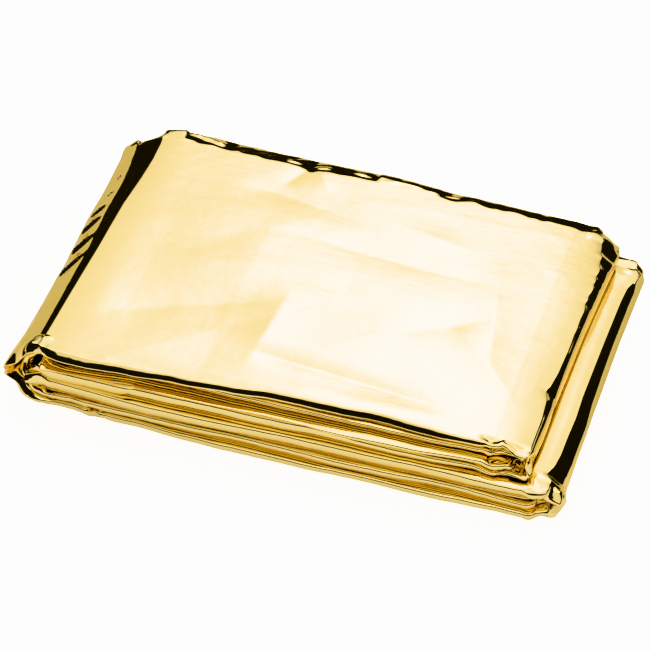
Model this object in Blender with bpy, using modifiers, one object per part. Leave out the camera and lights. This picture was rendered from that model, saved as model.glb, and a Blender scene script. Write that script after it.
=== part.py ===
"""Emergency foil blanket, folded twice into a flat packet.

The sheet is first pleated across its width into a strip of four layers. The strip is then folded along
its length, both ends to the middle and one half over the other. So one wrap closes the left end over
the full height, and two smaller turns close the right end, the lower one standing further out.

The tables are in millimetres and the model is in metres. +X runs along the packet, from the wrap to the
turns, +Y to its back and +Z up. The packet stands on the middle of its bottom.
"""

import math

import bpy

MM = 0.001

# The sheet, and how its four layers lie in the pleated strip.
SHEET_THICKNESS = 1.0
LAYER_GAP = 0.15
LAYER_PITCH = SHEET_THICKNESS + LAYER_GAP
FOLD_RADIUS = LAYER_PITCH / 2.0
FOLD_REACH = FOLD_RADIUS + SHEET_THICKNESS / 2.0

# One row for each layer, from the outer face of the strip inward. "fold" names the front fold that the
# layer belongs to, and "back_inset" is how far its back end stops short of the outer layer's edge.
LAYERS = (
    {"layer": "outer", "fold": "outer", "back_inset": 0.0},
    {"layer": "second", "fold": "outer", "back_inset": 0.7 + FOLD_REACH},
    {"layer": "third", "fold": "inner", "back_inset": 0.7 + FOLD_REACH},
    {"layer": "inner", "fold": "inner", "back_inset": 1.8},
)

# Along X: the centres of the end arcs, and where the two inner passes of the strip end.
WRAP_X = 9.5
UPPER_TURN_X = 124.6
LOWER_TURN_X = 131.6
SECOND_PASS_END_X = 7.0
THIRD_PASS_END_X = 7.8

# Heights of the outer layer of each pass at its left and right end, and how far its middle stands above
# its edges. The first pass lies flat at the bottom.
SECOND_PASS_TOP = {"left": 10.3, "right": 9.9, "crown": 0.2}
THIRD_PASS_BOTTOM = {"left": 11.0, "right": 10.15, "crown": 0.3}
TOP_PASS_TOP = {"left": 20.9, "right": 19.2, "crown": 0.5}

# Soft hollows in the top pass: the centre, the half length and half width, and the depth.
HOLLOWS = (
    {"x": 38.0, "y": 30.0, "along": 26.0, "across": 14.0, "depth": 0.45},
    {"x": 68.0, "y": 62.0, "along": 24.0, "across": 16.0, "depth": 0.35},
    {"x": 22.0, "y": 66.0, "along": 14.0, "across": 17.0, "depth": 0.40},
)

# One row for each station of the strip, in order from one free end to the other. "front" is where the
# outer front fold reaches, "tuck" how far the inner front fold stands back from it, and "back" the
# outer layer's back edge.
STATIONS = (
    {"part": "second pass", "at": 0.0, "front": 0.9, "tuck": 0.5, "back": 86.6},
    {"part": "second pass", "at": 0.3, "front": -0.2, "tuck": -0.3, "back": 86.9},
    {"part": "second pass", "at": 0.7, "front": 0.3, "tuck": 0.6, "back": 86.4},
    {"part": "second pass", "at": 1.0, "front": -0.6, "tuck": 0.9, "back": 86.8},
    {"part": "lower turn", "at": 0.5, "front": 1.4, "tuck": 0.8, "back": 85.2},
    {"part": "first pass", "at": 0.0, "front": -1.4, "tuck": 0.6, "back": 87.4},
    {"part": "first pass", "at": 0.35, "front": -1.1, "tuck": -0.2, "back": 87.8},
    {"part": "first pass", "at": 0.7, "front": -0.5, "tuck": 0.7, "back": 87.2},
    {"part": "first pass", "at": 1.0, "front": -0.5, "tuck": 0.8, "back": 87.6},
    {"part": "left wrap", "at": 0.5, "front": 0.4, "tuck": 0.8, "back": 85.6},
    {"part": "top pass", "at": 0.0, "front": -0.2, "tuck": 0.9, "back": 88.6},
    {"part": "top pass", "at": 0.22, "front": 1.3, "tuck": -0.3, "back": 88.1},
    {"part": "top pass", "at": 0.44, "front": 1.9, "tuck": 0.5, "back": 86.7},
    {"part": "top pass", "at": 0.67, "front": 2.4, "tuck": -0.4, "back": 85.4},
    {"part": "top pass", "at": 0.89, "front": 0.8, "tuck": 0.7, "back": 84.4},
    {"part": "top pass", "at": 1.0, "front": 1.4, "tuck": 0.9, "back": 83.6},
    {"part": "upper turn", "at": 0.5, "front": 4.3, "tuck": 0.8, "back": 82.0},
    {"part": "third pass", "at": 0.0, "front": 1.2, "tuck": 0.5, "back": 84.0},
    {"part": "third pass", "at": 0.4, "front": 1.7, "tuck": -0.4, "back": 85.8},
    {"part": "third pass", "at": 1.0, "front": 1.0, "tuck": 0.6, "back": 87.0},
)

# The parts of the folded strip in order, and the mesh steps along each.
STRIP_PARTS = {
    "second pass": 7,
    "lower turn": 8,
    "first pass": 7,
    "left wrap": 10,
    "top pass": 9,
    "upper turn": 8,
    "third pass": 7,
}

# Mesh steps across each layer, and around each fold between two layers.
RUN_STEPS = 5
FOLD_STEPS = 5

FOIL = {"color": (0.93, 0.71, 0.27, 1.0), "roughness": 0.14, "metallic": 1.0}


def smooth(t):
    """Ease from 0 to 1 with level ends."""
    t = min(1.0, max(0.0, t))
    return t * t * (3.0 - 2.0 * t)


def blend(start, end, t):
    """Value a fraction t of the way from start to end."""
    return start + (end - start) * t


def remove_all_objects():
    for thing in list(bpy.data.objects):
        bpy.data.objects.remove(thing, do_unlink=True)


def strip_position(part, at):
    """Place in order of a point of the strip: whole parts passed, plus the fraction along its own."""
    return list(STRIP_PARTS).index(part) + at


def station_values(position):
    """Front, tuck and back at a place along the strip, eased between the stations on either side."""
    columns = ("front", "tuck", "back")
    places = [strip_position(row["part"], row["at"]) for row in STATIONS]
    for row, following, start, end in zip(STATIONS, STATIONS[1:], places, places[1:]):
        if start < end and position <= end:
            t = smooth((position - start) / (end - start))
            return {column: blend(row[column], following[column], t) for column in columns}
    return {column: STATIONS[-1][column] for column in columns}


def layer_depth(number):
    """Distance of a layer's middle from the outer face of the strip."""
    return SHEET_THICKNESS / 2.0 + number * LAYER_PITCH


def run_points(number):
    """Points across one layer: even layers run to the front, odd ones to the back."""
    points = []
    for step in range(RUN_STEPS + 1):
        along = step / RUN_STEPS
        share = 1.0 - along if number % 2 == 0 else along
        points.append({"row": LAYERS[number], "share": share, "out": 0.0, "depth": layer_depth(number)})
    return points


def fold_points(number):
    """Points around the fold from one layer to the next, without the two layers' own ends."""
    at_front = number % 2 == 0
    points = []
    for step in range(1, FOLD_STEPS):
        angle = math.pi * step / FOLD_STEPS
        out = FOLD_RADIUS * math.sin(angle)
        points.append(
            {
                "row": LAYERS[number],
                "share": 0.0 if at_front else 1.0,
                "out": -out if at_front else out,
                "depth": layer_depth(number) + FOLD_RADIUS * (1.0 - math.cos(angle)),
            }
        )
    return points


def section_points():
    """The pleated section, from the outer layer's back edge to the inner layer's."""
    points = []
    for number in range(len(LAYERS)):
        points.extend(run_points(number))
        if number < len(LAYERS) - 1:
            points.extend(fold_points(number))
    return points


def hollow_depth(x, y):
    """Depth of the soft hollows of the top pass at a point."""
    total = 0.0
    for row in HOLLOWS:
        reach = ((x - row["x"]) / row["along"]) ** 2 + ((y - row["y"]) / row["across"]) ** 2
        total += row["depth"] * smooth(1.0 - reach)
    return total


def pass_height(heights, start_x, end_x, x, share):
    """Height of a pass's outer face: level from end to end, and crowned from front to back."""
    level = blend(heights["left"], heights["right"], (x - start_x) / (end_x - start_x))
    return level + heights["crown"] * math.sin(math.pi * share) ** 0.7


def second_pass_top(x, share):
    return pass_height(SECOND_PASS_TOP, SECOND_PASS_END_X, LOWER_TURN_X, x, share)


def third_pass_bottom(x, share):
    return pass_height(THIRD_PASS_BOTTOM, THIRD_PASS_END_X, UPPER_TURN_X, x, share)


def top_pass_top(x, share):
    return pass_height(TOP_PASS_TOP, WRAP_X, UPPER_TURN_X, x, share)


def turn_point(centre_x, bottom, top, depth, angle):
    """Point of an end arc between two outer faces, a depth inside its own outer face."""
    radius = (top - bottom) / 2.0 - depth
    middle = (top + bottom) / 2.0
    return centre_x + radius * math.cos(angle), middle + radius * math.sin(angle)


def strip_point(part, at, y, share, depth):
    """X and Z of a point a depth inside the outer face of the folded strip."""
    if part == "second pass":
        x = blend(SECOND_PASS_END_X, LOWER_TURN_X, at)
        return x, second_pass_top(x, share) - depth
    if part == "lower turn":
        top = second_pass_top(LOWER_TURN_X, share)
        return turn_point(LOWER_TURN_X, 0.0, top, depth, math.pi * (0.5 - at))
    if part == "first pass":
        return blend(LOWER_TURN_X, WRAP_X, at), depth
    if part == "left wrap":
        top = top_pass_top(WRAP_X, share)
        return turn_point(WRAP_X, 0.0, top, depth, math.pi * (1.5 - at))
    if part == "top pass":
        x = blend(WRAP_X, UPPER_TURN_X, at)
        return x, top_pass_top(x, share) - hollow_depth(x, y) - depth
    if part == "upper turn":
        bottom = third_pass_bottom(UPPER_TURN_X, share)
        top = top_pass_top(UPPER_TURN_X, share)
        return turn_point(UPPER_TURN_X, bottom, top, depth, math.pi * (0.5 - at))
    x = blend(UPPER_TURN_X, THIRD_PASS_END_X, at)
    return x, third_pass_bottom(x, share) + depth


def mesh_lines():
    """Part and fraction of each mesh line across the strip, a line shared by two parts counted once."""
    lines = []
    for part, steps in STRIP_PARTS.items():
        first = 1 if lines else 0
        lines.extend((part, step / steps) for step in range(first, steps + 1))
    return lines


def folded_place(part, at, point):
    """Place of one point of the sheet after both foldings."""
    station = station_values(strip_position(part, at))
    tuck = station["tuck"] if point["row"]["fold"] == "inner" else 0.0
    front = station["front"] + tuck + FOLD_REACH
    back = station["back"] - point["row"]["back_inset"]
    y = blend(front, back, point["share"]) + point["out"]
    x, z = strip_point(part, at, y, point["share"], point["depth"])
    return x, y, z


def middle(values):
    return (min(values) + max(values)) / 2.0


def foil_material():
    material = bpy.data.materials.new("gold_foil")
    material.use_nodes = True
    shader = material.node_tree.nodes["Principled BSDF"]
    shader.inputs["Base Color"].default_value = FOIL["color"]
    shader.inputs["Roughness"].default_value = FOIL["roughness"]
    shader.inputs["Metallic"].default_value = FOIL["metallic"]
    material.diffuse_color = FOIL["color"]
    return material


def folded_sheet(name, collection):
    """A flat grid for the whole sheet, folded point by point and thickened by Solidify."""
    section = section_points()
    lines = mesh_lines()
    bpy.ops.mesh.primitive_grid_add(
        x_subdivisions=len(lines) - 1, y_subdivisions=len(section) - 1, size=1.0
    )
    sheet = bpy.context.object
    sheet.name = name
    sheet.data.name = name
    places = []
    for vertex in sheet.data.vertices:
        part, at = lines[round((vertex.co.x + 0.5) * (len(lines) - 1))]
        point = section[round((vertex.co.y + 0.5) * (len(section) - 1))]
        places.append(folded_place(part, at, point))
    centre_x = middle([x for x, y, z in places])
    centre_y = middle([y for x, y, z in places])
    for vertex, (x, y, z) in zip(sheet.data.vertices, places):
        vertex.co = ((x - centre_x) * MM, (y - centre_y) * MM, z * MM)
    thickness = sheet.modifiers.new("thickness", "SOLIDIFY")
    thickness.thickness = SHEET_THICKNESS * MM
    thickness.offset = 0.0
    thickness.use_even_offset = True
    sheet.data.materials.append(foil_material())
    sheet.data.shade_smooth()
    for owner in list(sheet.users_collection):
        owner.objects.unlink(sheet)
    collection.objects.link(sheet)


def main():
    remove_all_objects()
    collection = bpy.data.collections.new("emergency_foil_blanket")
    bpy.context.scene.collection.children.link(collection)
    folded_sheet("foil_blanket", collection)


main()
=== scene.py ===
"""Emergency foil blanket, folded to a flat packet: the looks of the part.

One sheet of gold metallised film is pleated across its width into a strip and the strip is folded along
its length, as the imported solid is. Tables are in millimetres, measured from the packet's own corner:
x along it from the wrap, y from front to back, z up. The mesh and the scene are in metres. Creases lie
at a distance along the strip, which equals x on the top pass, and at a y.
"""

import logging
import math
from dataclasses import dataclass
from enum import Enum

import bpy
import numpy as np
from mathutils import Matrix, Vector


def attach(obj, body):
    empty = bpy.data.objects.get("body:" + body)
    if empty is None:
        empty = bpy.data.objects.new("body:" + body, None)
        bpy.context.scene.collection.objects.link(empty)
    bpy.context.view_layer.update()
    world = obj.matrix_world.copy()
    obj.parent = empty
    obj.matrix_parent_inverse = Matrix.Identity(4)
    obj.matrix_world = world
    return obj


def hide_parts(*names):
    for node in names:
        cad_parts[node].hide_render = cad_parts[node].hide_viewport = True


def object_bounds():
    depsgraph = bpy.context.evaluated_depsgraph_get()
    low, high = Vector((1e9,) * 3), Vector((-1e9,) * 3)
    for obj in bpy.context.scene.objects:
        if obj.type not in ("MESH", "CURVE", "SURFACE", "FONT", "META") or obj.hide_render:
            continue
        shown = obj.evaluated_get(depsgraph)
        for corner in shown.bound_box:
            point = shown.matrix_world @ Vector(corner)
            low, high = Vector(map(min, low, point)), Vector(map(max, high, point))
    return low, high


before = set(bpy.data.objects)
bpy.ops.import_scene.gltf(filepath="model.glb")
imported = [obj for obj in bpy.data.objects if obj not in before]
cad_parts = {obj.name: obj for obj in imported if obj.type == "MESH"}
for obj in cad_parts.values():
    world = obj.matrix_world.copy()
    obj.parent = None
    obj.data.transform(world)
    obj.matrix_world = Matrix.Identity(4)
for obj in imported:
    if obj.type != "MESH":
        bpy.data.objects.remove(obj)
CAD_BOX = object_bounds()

MM = 0.001
NODE = "foil_blanket"
BODY = "root"
WHITE = (1.0, 1.0, 1.0, 1.0)
STRIP_WIDTH = 86.0

Array = np.ndarray
Values = float | Array
Columns = dict[str, Array]
Socket = bpy.types.NodeSocket

log = logging.getLogger("foil_blanket")


def smooth(t: Array) -> Array:
    """Ease from 0 to 1 with level ends."""
    t = np.clip(t, 0.0, 1.0)
    return t * t * (3.0 - 2.0 * t)


def blend(start: Values, end: Values, t: Values) -> Values:
    """Value a fraction t of the way from start to end."""
    return start + (end - start) * t


def crowded(steps: int, start: float, end: float, reach: float) -> Array:
    """Places from 0 to 1 that stand closer together near the ends.

    Args:
        steps: number of steps between the places.
        start, end: how strongly they crowd towards 0 and towards 1.
        reach: how far in that goes.

    Returns:
        The places, both ends counted.
    """
    samples_a_step = 8
    t = np.linspace(0.0, 1.0, steps * samples_a_step + 1)
    density = 1.0 + start * np.exp(-t / reach) + end * np.exp((t - 1.0) / reach)
    total = np.concatenate(((0.0,), np.cumsum((density[1:] + density[:-1]) / 2.0)))
    return np.interp(np.linspace(0.0, total[-1], steps + 1), total, t)


def placed(name: str, data: bpy.types.ID) -> bpy.types.Object:
    """Put data into the scene as an object.

    Args:
        name: the object's name.
        data: its mesh, light or camera.

    Returns:
        The object.
    """
    thing = bpy.data.objects.new(name, data)
    bpy.context.scene.collection.objects.link(thing)
    return thing


class Grain(Enum):
    """How a noise lattice is filled in between its random heights."""

    SOFT = "soft"
    FACETED = "faceted"


@dataclass(frozen=True)
class SheetNoise:
    """Uneven relief over the sheet, from random heights on a lattice.

    Attributes:
        cell_x, cell_y: the lattice's steps, in millimetres.
        height: greatest height above and below the sheet, in millimetres.
        seed: seed of the random heights.
        grain: soft swells, or flat facets with sharp edges.
        table: how many heights there are each way before they repeat.
    """

    cell_x: float
    cell_y: float
    height: float
    seed: int
    grain: Grain = Grain.SOFT
    table: int = 61

    def at(self, x: Array, y: Array) -> Array:
        """Heights at points of the sheet.

        Args:
            x, y: the points, in millimetres.

        Returns:
            Heights in millimetres, of the shape of the inputs.
        """
        heights = np.random.default_rng(self.seed).uniform(-1.0, 1.0, (self.table, self.table))
        u, v = x / self.cell_x, y / self.cell_y
        column, row = np.floor(u).astype(int), np.floor(v).astype(int)
        fu, fv = u - column, v - row
        left, right = column % self.table, (column + 1) % self.table
        low, high = row % self.table, (row + 1) % self.table
        a, b = heights[left, low], heights[right, low]
        c, d = heights[left, high], heights[right, high]
        if self.grain is Grain.SOFT:
            fu, fv = smooth(fu), smooth(fv)
            return self.height * blend(blend(a, b, fu), blend(c, d, fu), fv)
        lower = a + (b - a) * fu + (d - b) * fv
        upper = a + (c - a) * fv + (d - c) * fu
        return self.height * np.where(fu > fv, lower, upper)


class Edge(Enum):
    """Cross-section of a crease.

    All but ROUND, a rounded swell, say how steeply and by which power it falls past its line, and
    before it: a sharp roof, a step that is steep before its line, and a rim that rolls over before it.
    """

    ROUND = None
    SHARP = (1.0, 2, 1.0, 2)
    STEP = (1.0, 2, 4.0, 1)
    ROLL = (0.25, 1, 1.0, 3)


@dataclass(frozen=True)
class Crease:
    """One listed crease of the sheet.

    Attributes:
        x0, y0, x1, y1: its two ends on the sheet, in millimetres.
        width: distance from its line to where it has died away, in millimetres.
        height: height of its line, in millimetres; a trough is negative.
        edge: cross-section, whose first side is on the left of the way from the first end to the other.
        ends: how far it fades at each end, as a share of its length.
    """

    x0: float
    y0: float
    x1: float
    y1: float
    width: float
    height: float
    edge: Edge = Edge.SHARP
    ends: float = 0.4

    def at(self, x: Array, y: Array) -> Array:
        """Heights of this crease at points of the sheet.

        Args:
            x, y: the points, in millimetres.

        Returns:
            Heights in millimetres.
        """
        along = np.array((self.x1 - self.x0, self.y1 - self.y0))
        length = float(np.hypot(*along))
        along = along / length
        dx, dy = x - self.x0, y - self.y0
        t = (dx * along[0] + dy * along[1]) / length
        off = (dy * along[0] - dx * along[1]) / self.width
        fade = smooth(t / self.ends) * smooth((1.0 - t) / self.ends)
        if self.edge is Edge.ROUND:
            body = smooth(1.0 - np.abs(off))
        else:
            past, past_power, before, before_power = self.edge.value
            left = np.clip(1.0 - past * off, 0.0, 1.0) ** past_power
            right = np.clip(1.0 + before * off, 0.0, 1.0) ** before_power
            body = np.where(off > 0.0, left, right)
        return np.where((t > 0.0) & (t < 1.0), self.height * body * fade, 0.0)


@dataclass(frozen=True)
class FarSlope:
    """The outer layer's gentle slope down to its far edge, with an uneven upper line.

    Attributes:
        line: where the slope begins, as pairs of x and y in millimetres.
        grade: its steepness, as a tangent.
        rag: how its upper line strays.
        rounding: length of the curve that it begins with, in millimetres.
    """

    line: tuple[tuple[float, float], ...]
    grade: float = 0.26
    rag: SheetNoise = SheetNoise(1.7, 9.0, 0.30, 14, Grain.FACETED)
    rounding: float = 0.25

    def at(self, x: Array, y: Array) -> Array:
        """Heights of the slope under the plain sheet.

        Args:
            x, y: points of the sheet, in millimetres.

        Returns:
            Heights in millimetres, none above 0.
        """
        places, values = zip(*self.line)
        past = y - np.interp(x, places, values) - self.rag.at(x, 0.0 * y)
        curve = np.clip(past, 0.0, None) ** 2 / (2.0 * self.rounding)
        return -self.grade * np.where(past > self.rounding, past - self.rounding / 2.0, curve)


@dataclass(frozen=True)
class Patch:
    """Relief that shows only near one place or edge of the sheet.

    Attributes:
        noise: the relief.
        x0, x1, y0, y1: the area where it is full, in millimetres.
        fade: distance over which it dies away outside that area, in millimetres.
    """

    noise: SheetNoise
    x0: float
    x1: float
    y0: float
    y1: float
    fade: float = 2.0

    def at(self, x: Array, y: Array) -> Array:
        """Heights of the relief."""
        outside = np.maximum.reduce((self.x0 - x, x - self.x1, self.y0 - y, y - self.y1))
        return self.noise.at(x, y) * smooth(1.0 - np.clip(outside, 0.0, None) / self.fade)


@dataclass(frozen=True)
class Crumple:
    """A corner where every layer is crushed together into small facets.

    Attributes:
        x, y, z: middle of the crushed corner, in millimetres.
        wide, deep, tall: half sizes of the space where it shows, in millimetres.
        facet: size of the facets, in millimetres.
        height: greatest shift, in millimetres.
        seed: seed of the shifts.
        squat: height of a facet as a share of its width.
        fade: share of the half sizes over which it dies away.
    """

    x: float
    y: float
    z: float
    wide: float
    deep: float
    tall: float
    facet: float
    height: float
    seed: int
    squat: float = 0.8
    fade: float = 0.4

    def shift(self, places: Array) -> Array:
        """Shifts of points in space.

        Args:
            places: the points, with x, y and z in their last axis, in millimetres.

        Returns:
            An array of the same shape with the shifts, in millimetres.
        """
        x, y, z = places[..., 0], places[..., 1], places[..., 2]
        middle, half = (self.x, self.y, self.z), (self.wide, self.deep, self.tall)
        off = np.max(np.abs(places - middle) / half, axis=-1)
        fade = smooth((1.0 - off) / self.fade)
        # each shift is read on a plane that is skewed its own way, so that no two facets agree
        planes = ((y + 0.4 * x, z - 0.3 * x), (x + 0.3 * z, z - 0.5 * y), (x + 0.5 * y, y - 0.4 * z))
        shifts = []
        for number, (u, v) in enumerate(planes):
            size = self.facet, self.facet * self.squat
            noise = SheetNoise(*size, self.height, self.seed + number, Grain.FACETED)
            shifts.append(noise.at(u, v) * fade)
        return np.stack(shifts, axis=-1)


class Part(Enum):
    """The parts of the folded strip, in order from its lower free end to its upper one."""

    SECOND_PASS = 0
    LOWER_TURN = 1
    FIRST_PASS = 2
    LEFT_WRAP = 3
    TOP_PASS = 4
    UPPER_TURN = 5
    THIRD_PASS = 6


@dataclass(frozen=True)
class Station:
    """Where the strip's long sides lie at one place along a part of it, in millimetres.

    Attributes:
        at: fraction along that part.
        front: how far to the front its outer fold reaches.
        tuck: how far the inner front fold stands back from the outer one.
        back: how far back it reaches.
        lip: how far the outer front fold slants down to a low lip, from 0 to 1.
        nose: how far that fold's slant or curve reaches back.
    """

    at: float
    front: float
    tuck: float
    back: float
    lip: float = 0.0
    nose: float = 0.7


@dataclass(frozen=True)
class Layers:
    """How thick the strip is at one place along a part of it, in millimetres.

    Attributes:
        at: fraction along that part.
        whole: height of its two folds together.
        outer: height of the outer fold.
    """

    at: float
    whole: float
    outer: float


STATIONS = {
    Part.SECOND_PASS: (
        Station(0, 0.2, 0.9, 85.6), Station(0.25, -0.9, 0.8, 85.9), Station(0.6, -0.7, 1, 85.4),
        Station(1, -0.9, 0.8, 85.8),
    ),
    Part.LOWER_TURN: (
        Station(0.35, 0.2, 1, 84.9), Station(0.6, 0.9, 1.4, 84.4),
    ),
    Part.FIRST_PASS: (
        Station(0, -1, 0.4, 86.4), Station(0.24, -1.3, 0.6, 86.8), Station(0.38, -1.1, 0.3, 86.6),
        Station(0.58, -0.8, 0.5, 86.4), Station(0.72, -0.7, 0.2, 86.3), Station(0.86, 0.2, -0.4, 86.3),
        Station(0.9, 0.7, -0.9, 86.4), Station(0.925, 0.6, -0.6, 86.5),
        Station(0.97, 1.3, -0.7, 86.6, 0, 1.1),
    ),
    Part.LEFT_WRAP: (
        Station(0.15, 1, 0.2, 86.8, 0.3, 1.6), Station(0.35, 0.9, 2.8, 86.4, 1, 4),
        Station(0.6, 0, 2.8, 84.4, 1, 3.2), Station(0.68, -0.3, 2.4, 82.6, 1, 2.4),
        Station(0.76, -0.6, 2, 84.2, 0.9, 1.8), Station(0.84, -0.9, 2, 86.4, 0.9, 1.5),
    ),
    Part.TOP_PASS: (
        Station(0, -2.3, 2.4, 87.7, 0.95, 1.7), Station(0.05, -2.3, 2.6, 88.3, 0.9, 1.7),
        Station(0.15, -1.5, 2.6, 87.9, 0.8, 1.5), Station(0.25, -0.4, 1.6, 87.5, 0.7, 1.2),
        Station(0.37, 0.2, 0.9, 87.2, 0.65, 1.1), Station(0.48, 1.3, 0.2, 87, 0.7, 1.2),
        Station(0.62, 1.4, -0.2, 86.5, 0.8, 1.2), Station(0.71, 2, -0.8, 85.9, 0.8, 1.3),
        Station(0.82, 1.4, -0.3, 85.3, 0.8, 1.2), Station(0.92, 1.2, 0.5, 84.9, 0.5, 0.9),
        Station(1, 1.4, 0.9, 84.6, 0.4, 1),
    ),
    Part.UPPER_TURN: (
        Station(0.3, 2.8, 0.3, 82.4, 0, 0.8), Station(0.6, 2.6, 0.3, 81.6, 0, 0.7),
    ),
    Part.THIRD_PASS: (
        Station(0, 0.6, -0.2, 83.6), Station(0.22, -0.4, -0.9, 84.4), Station(0.5, -0.3, -0.8, 85),
        Station(0.64, -0.4, -0.9, 85.2), Station(0.785, -0.5, -1, 85.5), Station(0.8, -0.9, 0.2, 85.5),
        Station(0.85, -0.8, -0.3, 85.6), Station(1, -0.6, -1.2, 86),
    ),
}

LAYERS = {
    Part.SECOND_PASS: (
        Layers(0, 4.3, 3.8), Layers(0.86, 4.2, 3.7), Layers(0.98, 4.5, 3),
    ),
    Part.LOWER_TURN: (
        Layers(0.5, 4.6, 2.3),
    ),
    Part.FIRST_PASS: (
        Layers(0.02, 4.9, 2.5), Layers(0.12, 5.8, 2.8), Layers(0.9, 5.8, 2.8),
    ),
    Part.LEFT_WRAP: (
        Layers(0.1, 4.6, 2.3), Layers(0.9, 4.6, 2.3),
    ),
    Part.TOP_PASS: (
        Layers(0.1, 5, 2.3), Layers(0.7, 4.2, 2.1), Layers(0.97, 3.8, 1.9),
    ),
    Part.UPPER_TURN: (
        Layers(0.5, 3.9, 1.9),
    ),
    Part.THIRD_PASS: (
        Layers(0.02, 4.6, 2.4), Layers(0.09, 5.1, 3), Layers(0.32, 5.2, 3.1), Layers(0.42, 5.2, 4.2),
        Layers(1, 5.2, 4.2),
    ),
}

# A plain front fold at even steps around it: a tight lip at its upper face and film that sags under it.
# How far each step stands back from the foremost line, in millimetres, and how far down the fold it is.
FOLD_BACK = (1.7, 1.4, 0.95, 0.50, 0.22, 0.09, 0.0, 0.0, 0.04, 0.20, 0.45, 0.75, 1.1)
FOLD_DROP = (0.0, 0.03, 0.075, 0.125, 0.165, 0.215, 0.32, 0.44, 0.57, 0.72, 0.84, 0.94, 1.0)

# How far the strip's outer face is turned down at the ends of its parts, in order.
FACE_DOWN = (0, 0, 1, 1, 0, 0, 1, 1)


def positions(table: dict[Part, tuple]) -> Array:
    """Place in order along the strip of each row of a table kept by part."""
    return np.array([part.value + row.at for part, rows in table.items() for row in rows])


def column(table: dict[Part, tuple], name: str) -> Array:
    """One named value of each row of a table kept by part, in order along the strip."""
    return np.array([getattr(row, name) for rows in table.values() for row in rows])


@dataclass(frozen=True)
class Line:
    """One mesh line across the strip.

    Attributes:
        part: part of the strip.
        at: fraction along that part.
        fine: whether its outer layer is meshed finely.
    """

    part: Part
    at: float
    fine: bool


@dataclass(frozen=True)
class Stretch:
    """How finely one part of the strip is meshed along its length.

    Attributes:
        part: part of the strip.
        steps: mesh steps along it.
        crowd_start, crowd_end: how strongly the steps crowd towards its two ends, from 0.
        fine_from: fraction from which its outer layer is meshed finely; 2 is nowhere.
        crowd_reach: how far in from an end the crowding goes.
    """

    part: Part
    steps: int
    crowd_start: float = 0.0
    crowd_end: float = 0.0
    fine_from: float = 0.0
    crowd_reach: float = 0.07

    def lines(self) -> list[Line]:
        """The part's mesh lines, both ends counted."""
        fractions = crowded(self.steps, self.crowd_start, self.crowd_end, self.crowd_reach)
        return [Line(self.part, float(at), at >= self.fine_from) for at in fractions]


STRETCHES = (
    Stretch(Part.SECOND_PASS, 120, 2.0, 2.5, 0.97),
    Stretch(Part.LOWER_TURN, 54),
    Stretch(Part.FIRST_PASS, 140, 2.5, 2.0, 2.0),
    Stretch(Part.LEFT_WRAP, 90),
    Stretch(Part.TOP_PASS, 210, 2.5, 2.5),
    Stretch(Part.UPPER_TURN, 50),
    Stretch(Part.THIRD_PASS, 130, 2.5, 1.0, 2.0),
)


@dataclass(frozen=True)
class SectionPoint:
    """One point across the pleated strip.

    Attributes:
        share: place from the front (0) to the back (1) of its layer.
        top, bottom: depths inside the strip's outer face that its fold joins, in millimetres.
        angle: place around that fold, from 0 at the top to pi at the bottom.
        side: -1 on a front fold, 1 on a back one, 0 on a layer.
        inset: distance kept back from the strip's side, in millimetres.
        inner: whether it follows the inner front fold.
        relief: how far the outer layer's own relief reaches it, from 0 to 1.
        fine: whether it is left out where the outer layer is hidden.
    """

    share: float
    top: float
    bottom: float
    angle: float = 0.0
    side: int = 0
    inset: float = 0.0
    inner: bool = False
    relief: float = 0.0
    fine: bool = False


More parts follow.
